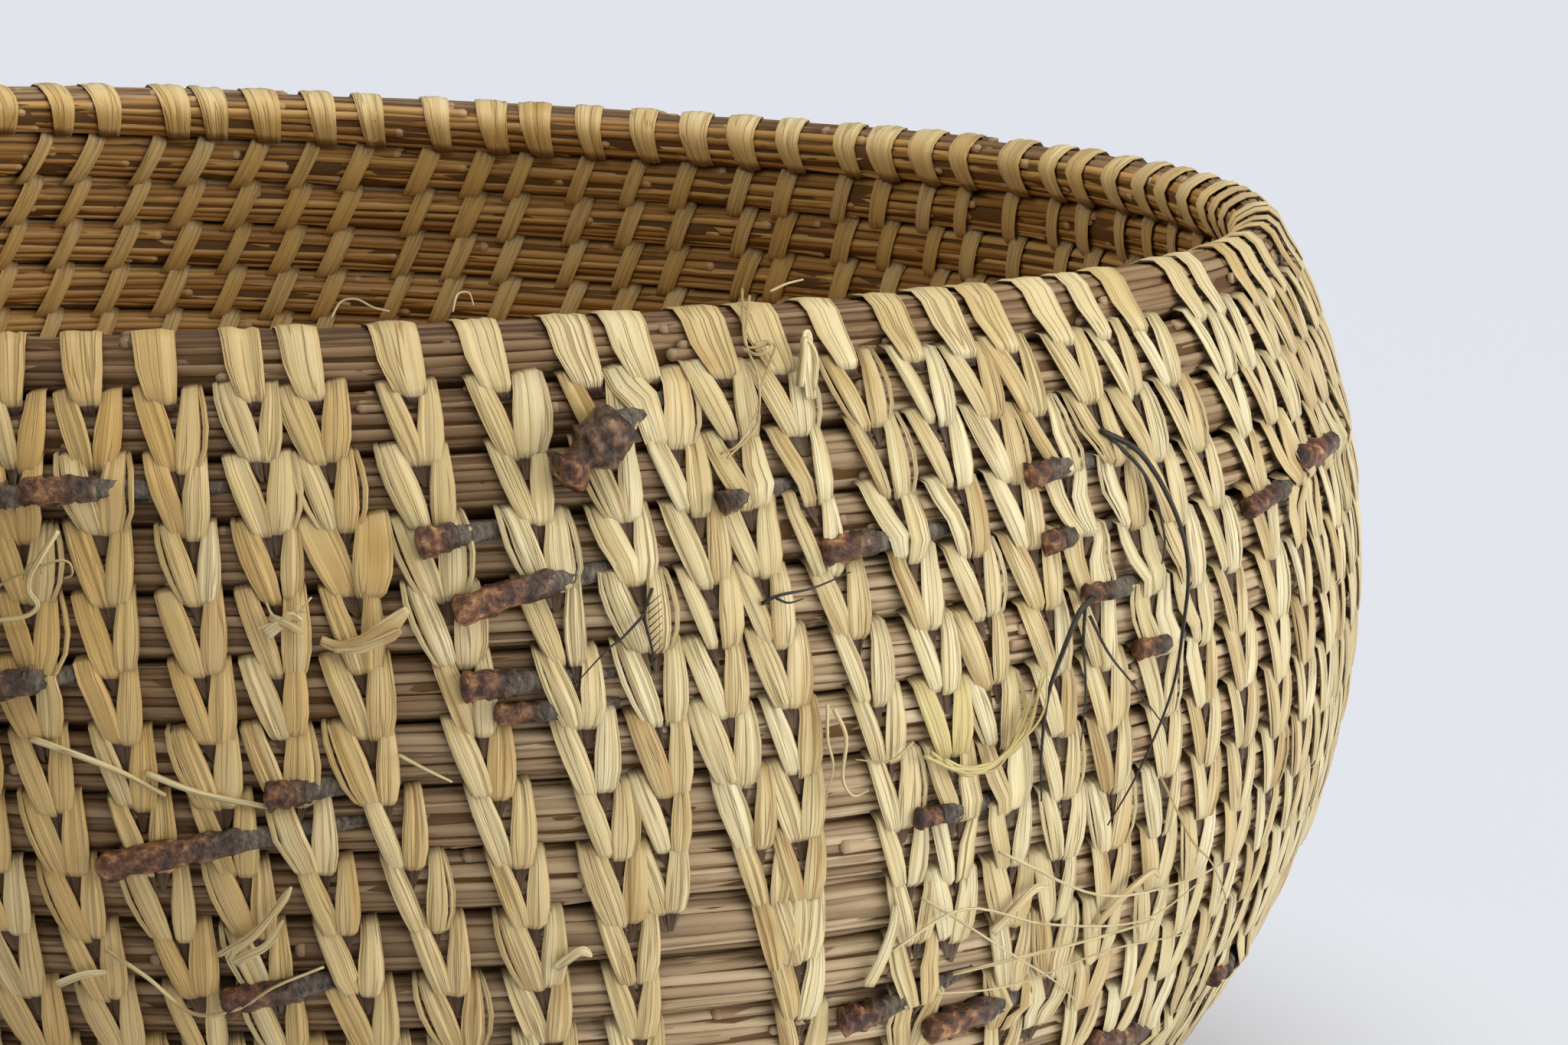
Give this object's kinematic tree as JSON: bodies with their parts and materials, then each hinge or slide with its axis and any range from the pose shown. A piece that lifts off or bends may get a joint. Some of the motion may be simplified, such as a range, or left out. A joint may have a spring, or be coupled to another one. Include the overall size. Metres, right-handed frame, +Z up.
{
  "type": "pine needle basket",
  "caption": "Round coiled basket of pine needle bundles sewn with chains of split raffia stitches, with a flat base, a bulging wall and an open mouth.",
  "frame": {"origin": "middle of the flat underside, on the surface that the basket stands on", "axes": "+Z up through the mouth; -Y faces the picture's camera"},
  "size_m": [0.2822, 0.2855, 0.14],
  "materials": {
    "pine_needles": "dry, satin, ridged along the needles",
    "raffia": "pale straw, creased along its length, slight sheen",
    "cap_bark": "rough reddish-brown bark scales"
  },
  "bodies": {
    "root": {"rim_coil": "pine_needles", "neck_coil": "pine_needles", "shoulder_coil": "pine_needles", "upper_belly_coil": "pine_needles", "belly_coil": "pine_needles", "lower_belly_coil": "pine_needles", "lower_wall_coil": "pine_needles", "heel_coil": "pine_needles", "foot_coil": "pine_needles", "base_coil": "pine_needles", "centre_start": "raffia", "raffia_chain_01": "raffia", "raffia_chain_02": "raffia", "raffia_chain_03": "raffia", "raffia_chain_04": "raffia", "raffia_chain_05": "raffia", "raffia_chain_06": "raffia", "raffia_chain_07": "raffia", "raffia_chain_08": "raffia", "raffia_chain_09": "raffia", "raffia_chain_10": "raffia", "raffia_chain_11": "raffia", "raffia_chain_12": "raffia", "raffia_chain_13": "raffia", "raffia_chain_14": "raffia", "raffia_chain_15": "raffia", "raffia_chain_16": "raffia", "raffia_chain_17": "raffia", "raffia_chain_18": "raffia", "needle_cap_01": "cap_bark", "needle_cap_02": "cap_bark", "needle_cap_03": "cap_bark", "needle_cap_04": "cap_bark", "needle_cap_05": "cap_bark", "needle_cap_06": "cap_bark", "needle_cap_07": "cap_bark", "needle_cap_08": "cap_bark", "needle_cap_09": "cap_bark", "needle_cap_10": "cap_bark", "needle_cap_11": "cap_bark", "needle_cap_12": "cap_bark", "needle_cap_13": "cap_bark", "needle_cap_14": "cap_bark", "needle_cap_15": "cap_bark", "needle_cap_16": "cap_bark", "needle_cap_17": "cap_bark", "needle_cap_18": "cap_bark", "needle_cap_19": "cap_bark", "needle_cap_20": "cap_bark", "knot_cap": "cap_bark"}
  },
  "joints": []
}
